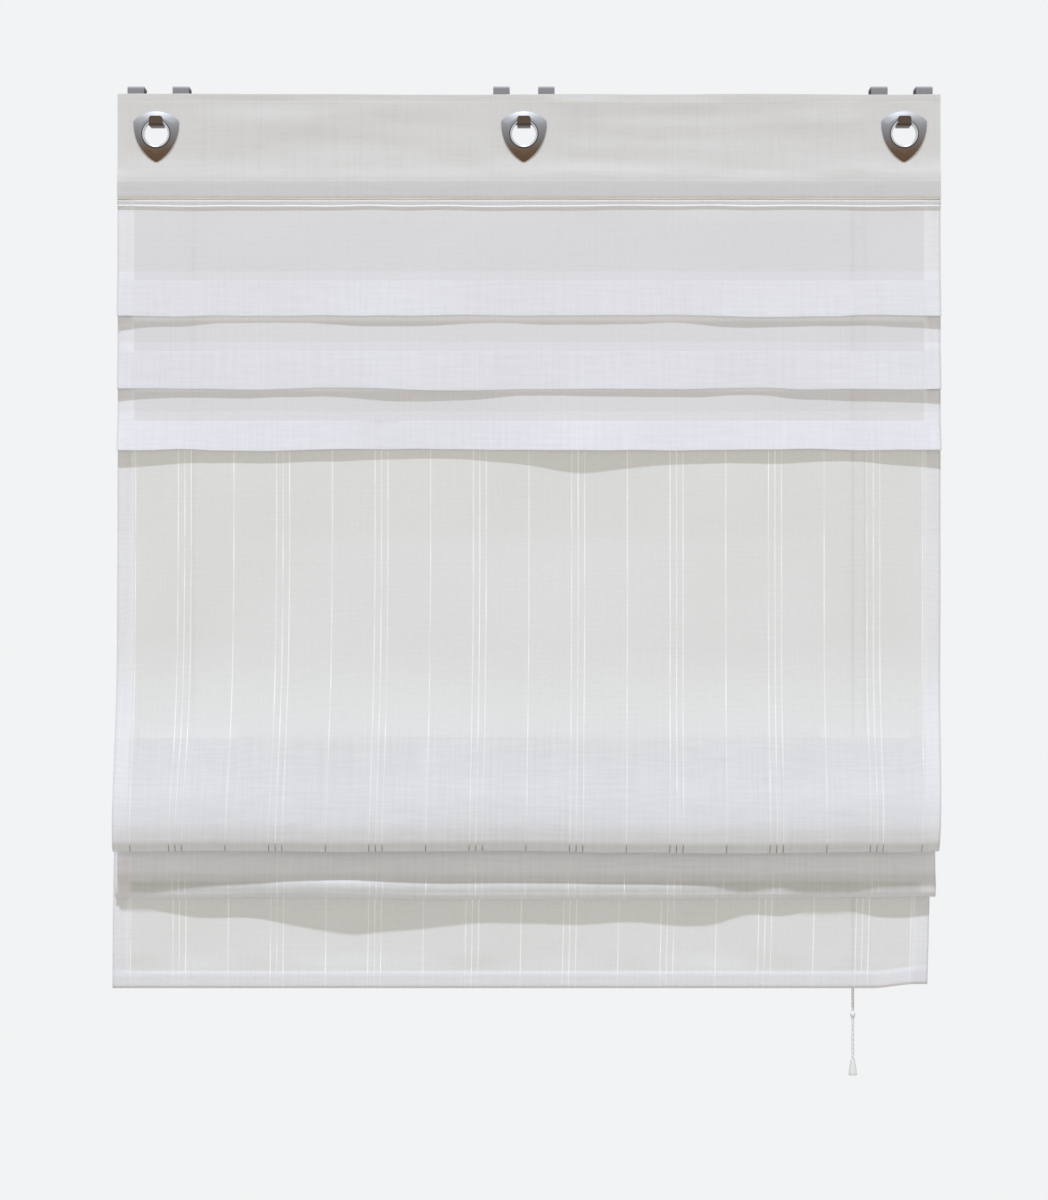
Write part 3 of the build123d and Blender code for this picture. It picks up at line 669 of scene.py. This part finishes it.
# %% Bar of the hem
bar_low, bar_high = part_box("hem_bar")
bar_start, bar_end = bar_low.x + 4 * mm, 338 * mm
shape = bmesh.new()
bmesh.ops.create_cube(shape, size=1)
size = Vector((bar_end - bar_start, bar_high.y - bar_low.y, bar_high.z - bar_low.z))
bar_middle = Vector(((bar_start + bar_end) / 2, (bar_low.y + bar_high.y) / 2, (bar_low.z + bar_high.z) / 2))
for vertex in shape.verts:
    vertex.co = Vector([c * s for c, s in zip(vertex.co, size)])
    vertex.co += bar_middle
bmesh.ops.bevel(shape, geom=shape.edges[:], offset=0.8 * mm, segments=3, affect="EDGES")
mesh = bpy.data.meshes.new("hem_bar_short")
shape.to_mesh(mesh)
shape.free()
hem_bar = placed("hem_bar_short", mesh)
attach(hem_bar, "hem")
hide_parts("hem_bar")
print("hem bar is", round((bar_end - bar_start) / mm), "mm long")

# %% [markdown]
# Cord. The lift cords and the pull are braided polyester, about as soft as string. Between the rings and the
# header they run in the CAD's own tubes. The stretches that grow and shrink as the blind moves are built here
# as twisted strands, fixed where they hang at rest and attached to no body.

# %% Cord material
def plastic_like(name, colour, roughness, ior=1.49, metallic=0.0, grain=0.02, grain_size=0.6 * mm, coat=0.0):
    """A plain solid finish with slight unevenness in tone and surface."""
    made, tree = new_material(name)
    place = add(tree, "ShaderNodeTexCoord")
    specks = add(tree, "ShaderNodeTexNoise", {
        "Vector": place.outputs["Object"], "Scale": 1 / grain_size, "Detail": 3.0})
    low = add(tree, "ShaderNodeMapRange", {"Value": specks, "To Min": 1 - 2 * grain, "To Max": 1 + 2 * grain})
    toned = add(tree, "ShaderNodeVectorMath", {0: srgb(colour)[:3], "Scale": low}, operation="SCALE")
    rough = add(tree, "ShaderNodeMapRange", {"Value": specks, "To Min": roughness - 0.06,
                                             "To Max": roughness + 0.06})
    bump = add(tree, "ShaderNodeBump", {"Height": specks, "Strength": 0.25, "Distance": 0.05 * mm})
    shader = add(tree, "ShaderNodeBsdfPrincipled", {
        "Base Color": toned, "Roughness": rough, "Metallic": metallic,
        "Normal": bump, "Coat Weight": coat})
    if not metallic:
        shader.inputs["IOR"].default_value = ior
    add(tree, "ShaderNodeOutputMaterial", {"Surface": shader})
    return made


braid = plastic_like("braided polyester cord", "DEDEE2", 0.8, ior=1.55, grain=0.05, grain_size=1.0 * mm)

# %% Twisted strands along a route
def route_points(name, points):
    """Points read from the smooth line through a cord's route."""
    curve = bpy.data.curves.new(name, "CURVE")
    curve.dimensions = "3D"
    spline = curve.splines.new("NURBS")
    spline.points.add(len(points) - 1)
    for point, place in zip(spline.points, points):
        point.co = (*place, 1)
    spline.order_u = 3
    spline.use_endpoint_u = True
    holder = bpy.data.objects.new(name, curve)
    mesh = bpy.data.meshes.new_from_object(holder)
    read = [vertex.co.copy() for vertex in mesh.vertices]
    bpy.data.objects.remove(holder)
    bpy.data.curves.remove(curve)
    bpy.data.meshes.remove(mesh)
    return read


tube_sides = 8
around_tube = [math.tau * side / tube_sides for side in range(tube_sides)]


def tube_faces(first, steps):
    """The faces of a tube of rings of points, from point number first on, with a face at each end."""
    faces = []
    for start in range(first, first + steps * tube_sides, tube_sides):
        for side in range(tube_sides):
            a, b = start + side, start + (side + 1) % tube_sides
            faces.append((a, b, b + tube_sides, a + tube_sides))
    last = first + steps * tube_sides
    faces.append(tuple(reversed(range(first, first + tube_sides))))
    faces.append(tuple(range(last, last + tube_sides)))
    return faces


def twisted(name, lines, diameter, lay, body_a, body_b=None):
    """Two plies twisted round each straight line of points. lay is the length of one full turn."""
    per_turn = 8
    ply = 0.36 * diameter
    vertices, faces = [], []
    for line in lines:
        top, bottom = line[0], line[-1]
        length = (bottom - top).length
        rings = max(8, round(length / lay * per_turn))
        for turn in (0, math.pi):
            first = len(vertices)
            for ring in range(rings + 1):
                t = ring / rings
                angle = turn + math.tau * t * length / lay
                centre = top.lerp(bottom, t) + Vector((math.cos(angle), math.sin(angle), 0)) * (diameter / 2 - ply)
                for a in around_tube:
                    vertices.append(centre + Vector((math.cos(a), math.sin(a), 0)) * ply)
            faces += tube_faces(first, rings)
    made = smooth_object(name, [tuple(v) for v in vertices], faces, braid)
    if body_b is None:
        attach(made, body_a)
    else:
        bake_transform(made)
    print(name, "has", len(faces), "faces")
    return made


# %% [markdown]
# The two strands of the pull come out of the stopper behind the header and run straight down to the knot under
# the hem. One thicker cord goes on from there, through the bell, to a knot in its pocket. All of it hangs
# tight under the bell's weight, so the routes are straight.

# %% Pull cord
strand_size, pull_size = 1.4 * mm, 2.8 * mm
strand_lay, pull_lay = 6 * mm, 9 * mm
strand_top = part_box("pull_strands")[1].z
knot_low, knot_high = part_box("join_knot")
strand_side, strand_depth = 0.75 * mm, 0.35 * mm
pull_x, pull_y = middle("pull_strands").x, middle("pull_strands").y
for side, name in ((-1, "pull_strand_left"), (1, "pull_strand_right")):
    place = (pull_x + side * strand_side, pull_y + side * strand_depth)
    line = route_points(name, [(*place, strand_top), (*place, knot_high.z)])
    made = twisted(name, [line], strand_size, strand_lay, "top", "pull")
    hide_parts("pull_strands")
end_in_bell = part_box("bell")[0].z + 5.2 * mm - 2.3 * mm
line = route_points("pull_line", [(pull_x, pull_y, knot_low.z), (pull_x, pull_y, end_in_bell)])
pull = twisted("pull_cord_twisted", [line], pull_size, pull_lay, "pull")
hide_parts("pull_cord")

# %% [markdown]
# The lift cords between the drawn-up ring rows get longer as the blind comes down. Each stretch passes two
# joints, so it is made in two halves that meet in the middle.

# %% Cords between the ring rows
cord_columns = [middle("ring_row_3").x - cord_offset, middle("ring_row_3").x + cord_offset]
span_depths = [pull_y - strand_depth, pull_y + strand_depth]
below_ring = 3 * mm
chain = ["top", "upper_fold", "second_rings", "lower_fold", "hem"]
for name, first, high, low in (("upper_cord_spans", 0, row_3, row_2), ("lower_cord_spans", 2, row_2, row_1)):
    top, bottom = high - below_ring, low - below_ring
    halfway = (top + bottom) / 2
    for half, (a, b) in enumerate(((top, halfway), (halfway, bottom))):
        lines = [[Vector((cx, cy, a)), Vector((cx, cy, b))] for cx, cy in zip(cord_columns, span_depths)]
        bodies = chain[first + half], chain[first + half + 1]
        made = twisted(f"{name}_{('upper', 'lower')[half]}", lines, strand_size, strand_lay, *bodies)
        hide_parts(name)

# %% [markdown]
# The stopper's spring is a wire coil that is squeezed when the plunger is pressed.

# %% Spring
wire = 0.7 * mm
spring_low, spring_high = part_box("stopper_spring")
spring_middle = (spring_low + spring_high) / 2
coil_radius = (spring_high.y - spring_low.y) / 2 - wire / 2
turns, per_turn = 3.5, 24
first_x, last_x = spring_low.x + wire / 2, spring_high.x - wire / 2
vertices = []
steps = round(turns * per_turn)
for step in range(steps + 1):
    t = step / steps
    angle = math.tau * turns * t
    outward = Vector((0, math.cos(angle), math.sin(angle)))
    centre = Vector((first_x + (last_x - first_x) * t, spring_middle.y, spring_middle.z)) + outward * coil_radius
    for a in around_tube:
        vertices.append(centre + (outward * math.cos(a) + Vector((1, 0, 0)) * math.sin(a)) * wire / 2)
spring_steel = plastic_like("bright spring steel wire", "B4B4B6", 0.28, metallic=1.0)
spring = smooth_object("spring_coil", [tuple(v) for v in vertices], tube_faces(0, steps), spring_steel)
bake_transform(spring)
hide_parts("stopper_spring")
print("spring coil has", len(spring.data.polygons), "faces")

# %% [markdown]
# Metal. The eyelets are pressed from thin steel and nickel plated to a satin silver. Their colour is painted
# lighter up the eyelet, from a bronze brown at the tip to pale silver along the arched top, as a painted
# reflection of a dark floor below and a bright room above. The rolled rim of the hole carries a painted
# highlight, with a fine dark line of painted shade round it. Each eyelet has its own material, because the rim is
# drawn round its own centre. The hooks are stamped steel in grey lacquer, and their tongues, which stand furthest
# forward, are dark brown.

# %% Plated eyelets
rim_radius = 13.4 * mm


def plated(name, centre):
    """Satin nickel plate of an eyelet whose hole has this centre, with painted reflections, highlight and shade."""
    made, tree = new_material(name)
    place = add(tree, "ShaderNodeTexCoord")
    parts = add(tree, "ShaderNodeSeparateXYZ", {0: place.outputs["Object"]})
    low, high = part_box("eyelet_left")
    height = add(tree, "ShaderNodeMapRange", {"Value": parts.outputs[2], "From Min": low.z, "From Max": high.z})
    # Painted reflection: brown at the tip, pale silver at the top.
    tones = add(tree, "ShaderNodeValToRGB", {0: height})
    stops = tones.color_ramp.elements
    stops[0].position, stops[0].color = 0.04, srgb("6B5443")
    stops[1].position, stops[1].color = 1.0, srgb("D2D3D5")
    for position, code in ((0.22, "705A49"), (0.42, "7A7674"), (0.68, "929295"), (0.86, "ABACAE")):
        stops.new(position).color = srgb(code)
    offset = add(tree, "ShaderNodeVectorMath", {0: place.outputs["Object"], 1: tuple(centre)}, operation="SUBTRACT")
    flat = add(tree, "ShaderNodeVectorMath", {0: offset, 1: (1, 0, 1)}, operation="MULTIPLY")
    from_hole = add(tree, "ShaderNodeVectorMath", {0: flat}, operation="LENGTH").outputs["Value"]
    # Painted highlight on the rolled rim.
    painted_rim_highlight = add(tree, "ShaderNodeMapRange", {"Value": from_hole, "From Min": rim_radius - 0.3 * mm,
                                              "From Max": rim_radius, "To Min": 1.0, "To Max": 0.0})
    rim_highlighted = add(tree, "ShaderNodeMix", {0: painted_rim_highlight, 6: tones, 7: srgb("CFD0D2")},
                 data_type="RGBA")
    # Painted shade: a fine dark line just outside the rim.
    from_crease = add(tree, "ShaderNodeMath", {0: from_hole, 1: rim_radius + 0.35 * mm}, operation="SUBTRACT")
    beside = add(tree, "ShaderNodeMath", {0: from_crease}, operation="ABSOLUTE")
    painted_crease_shade = add(tree, "ShaderNodeMapRange", {"Value": beside, "From Min": 0.3 * mm,
                                                 "From Max": 0.7 * mm, "To Min": 0.85, "To Max": 0.0})
    crease_shaded = add(tree, "ShaderNodeMix", {0: painted_crease_shade, 6: rim_highlighted.outputs[2], 7: srgb("3E3834")},
                  data_type="RGBA")
    brushed_place = add(tree, "ShaderNodeVectorMath", {0: place.outputs["Object"], 1: (3000, 3000, 260)},
                        operation="MULTIPLY")
    brushed = add(tree, "ShaderNodeTexNoise", {"Vector": brushed_place, "Scale": 1.0, "Detail": 2.0})
    rough = add(tree, "ShaderNodeMapRange", {"Value": brushed, "To Min": 0.28, "To Max": 0.42})
    bump = add(tree, "ShaderNodeBump", {"Height": brushed, "Strength": 0.12, "Distance": 0.03 * mm})
    shader = add(tree, "ShaderNodeBsdfPrincipled", {
        "Base Color": crease_shaded.outputs[2], "Metallic": 1.0, "Roughness": rough, "Normal": bump})
    add(tree, "ShaderNodeOutputMaterial", {"Surface": shader})
    return made


def lacquered(name):
    """Grey lacquer over steel, dark brown on the tongue, which is what stands furthest forward."""
    made, tree = new_material(name)
    place = add(tree, "ShaderNodeTexCoord")
    parts = add(tree, "ShaderNodeSeparateXYZ", {0: place.outputs["Object"]})
    forward = add(tree, "ShaderNodeMapRange", {"Value": parts.outputs[1], "From Min": -14 * mm, "From Max": -10 * mm,
                                               "To Min": 1.0, "To Max": 0.0})
    specks = add(tree, "ShaderNodeTexNoise", {"Vector": place.outputs["Object"], "Scale": 900.0, "Detail": 3.0})
    worn = add(tree, "ShaderNodeMapRange", {"Value": specks, "To Min": 0.9, "To Max": 1.1})
    base = add(tree, "ShaderNodeMix", {0: forward, 6: srgb("8A888C"), 7: srgb("4A3A2C")}, data_type="RGBA")
    toned = add(tree, "ShaderNodeVectorMath", {0: base.outputs[2], "Scale": worn}, operation="SCALE")
    bump = add(tree, "ShaderNodeBump", {"Height": specks, "Strength": 0.15, "Distance": 0.03 * mm})
    shader = add(tree, "ShaderNodeBsdfPrincipled", {
        "Base Color": toned, "Metallic": 0.2, "Roughness": 0.6, "Normal": bump})
    add(tree, "ShaderNodeOutputMaterial", {"Surface": shader})
    return made


hook_lacquer = lacquered("grey lacquered steel")
washer_steel = plastic_like("stamped zinc-plated steel", "A9AAAB", 0.4, metallic=1.0)

# %% [markdown]
# Plastics. The bars are extruded white PVC, the rings are moulded milky nylon, and the stopper and the bell are
# moulded white ABS with a soft gloss.

# %% Plastics, and the finish of each CAD piece that stays
bar_pvc = plastic_like("extruded white PVC", "E6E6E2", 0.45, ior=1.53)
ring_nylon = plastic_like("moulded milky nylon", "EFEFEC", 0.3, ior=1.53)
stopper_abs = plastic_like("moulded white ABS", "EDEDEA", 0.25, ior=1.53, coat=0.2)
bell_abs = plastic_like("moulded pale grey ABS", "D9D9D6", 0.22, ior=1.53, coat=0.3)
finishes = {
    "header_bar": bar_pvc, "guide_rings": ring_nylon,
    "lift_cord_left": braid, "lift_cord_right": braid, "end_knots": braid, "join_knot": braid,
    "bell": bell_abs, "stopper_barrel": stopper_abs, "stopper_plunger": stopper_abs,
}
hem_bar.data.materials.append(bar_pvc)
for row in (4, 3, 2, 1):
    finishes[f"ring_row_{row}"] = ring_nylon
for side in eyelets:
    finishes[f"hook_{side}"] = hook_lacquer
    finishes[f"eyelet_{side}"] = plated(f"satin nickel plate {side}", middle(f"washer_{side}"))
    finishes[f"washer_{side}"] = washer_steel
for node, material in finishes.items():
    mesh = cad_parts[node].data
    mesh.materials.clear()
    mesh.materials.append(material)
print("finishes given to", len(finishes), "CAD pieces")

# %% [markdown]
# The room. A plain pale floor lies well below the blind. The light is a soft even room, one lamp high in front,
# which draws the shadows under the tucks and folds, a wide warm lamp low in front, which fills those shadows, and a
# weak wide one behind, as from a window, which comes through the voile. The camera, and whatever metal mirrors, see
# a plain pale room instead of the dimmer one that gives the light. The wide lamps stay out of the mirroring.

# %% Floor
floor_mesh = bpy.data.meshes.new("floor")
floor_z = -1.45
corners = [(-4, -4, floor_z), (4, -4, floor_z), (4, 1.4, floor_z), (-4, 1.4, floor_z)]
floor_mesh.from_pydata(corners, [], [(0, 1, 2, 3)])
floor = placed("floor", floor_mesh)
floor_mesh.materials.append(plastic_like("pale matt floor", "BEBAB0", 0.9, grain=0.01, grain_size=4 * mm))
floor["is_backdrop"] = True

# %% Light
world = bpy.data.worlds.new("soft room")
bpy.context.scene.world = world
world.use_nodes = True
tree = world.node_tree
tree.nodes.clear()
way = add(tree, "ShaderNodeTexCoord")
parts = add(tree, "ShaderNodeSeparateXYZ", {0: way.outputs["Generated"]})
up = add(tree, "ShaderNodeMapRange", {"Value": parts.outputs[2], "From Min": -1.0, "From Max": 1.0})
tones = add(tree, "ShaderNodeValToRGB", {0: up})
stops = tones.color_ramp.elements
stops[0].position, stops[0].color = 0.3, (0.32, 0.28, 0.23, 1)
stops[1].position, stops[1].color = 0.8, (0.41, 0.40, 0.385, 1)
stops.new(0.5).color = (0.41, 0.39, 0.355, 1)
seen = add(tree, "ShaderNodeLightPath")
mirrored = add(tree, "ShaderNodeMath", {0: seen.outputs["Is Glossy Ray"], 1: seen.outputs["Is Transmission Ray"]},
               operation="MAXIMUM")
shown = add(tree, "ShaderNodeMath", {0: seen.outputs["Is Camera Ray"], 1: mirrored}, operation="MAXIMUM")
room = add(tree, "ShaderNodeMix", {0: shown, 6: tones, 7: srgb("F2F3F4")}, data_type="RGBA")
glow = add(tree, "ShaderNodeBackground", {"Color": room.outputs[2], "Strength": 1.0})
add(tree, "ShaderNodeOutputWorld", {"Surface": glow})

# Name, strength, softness in degrees, colour, degrees up from level and degrees round from the front.
lamps = [
    ("high lamp", 2.85, 2, (0.915, 0.98, 1.16), 67, -8),
    ("low wide lamp", 1.15, 70, (1.04, 0.955, 0.81), -12, 0),
    ("window behind", 0.35, 70, (0.95, 0.98, 1.0), 20, 180),
]
for name, strength, softness, colour, height, side in lamps:
    lamp_data = bpy.data.lights.new(name, "SUN")
    lamp_data.energy, lamp_data.angle, lamp_data.color = strength, math.radians(softness), colour
    lamp = placed(name, lamp_data)
    rise, around = math.radians(height), math.radians(side)
    toward = Vector((math.sin(around) * math.cos(rise), -math.cos(around) * math.cos(rise), math.sin(rise)))
    lamp.rotation_mode = "QUATERNION"
    lamp.rotation_quaternion = toward.to_track_quat("Z", "Y")
    lamp.visible_glossy = softness < 10
bpy.context.scene.view_settings.view_transform = "Standard"

# %% [markdown]
# Last, the size: the box round the dressed blind is found. The dressed blind has to stay in the CAD
# model's box.

# %% Finish
low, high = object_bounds()
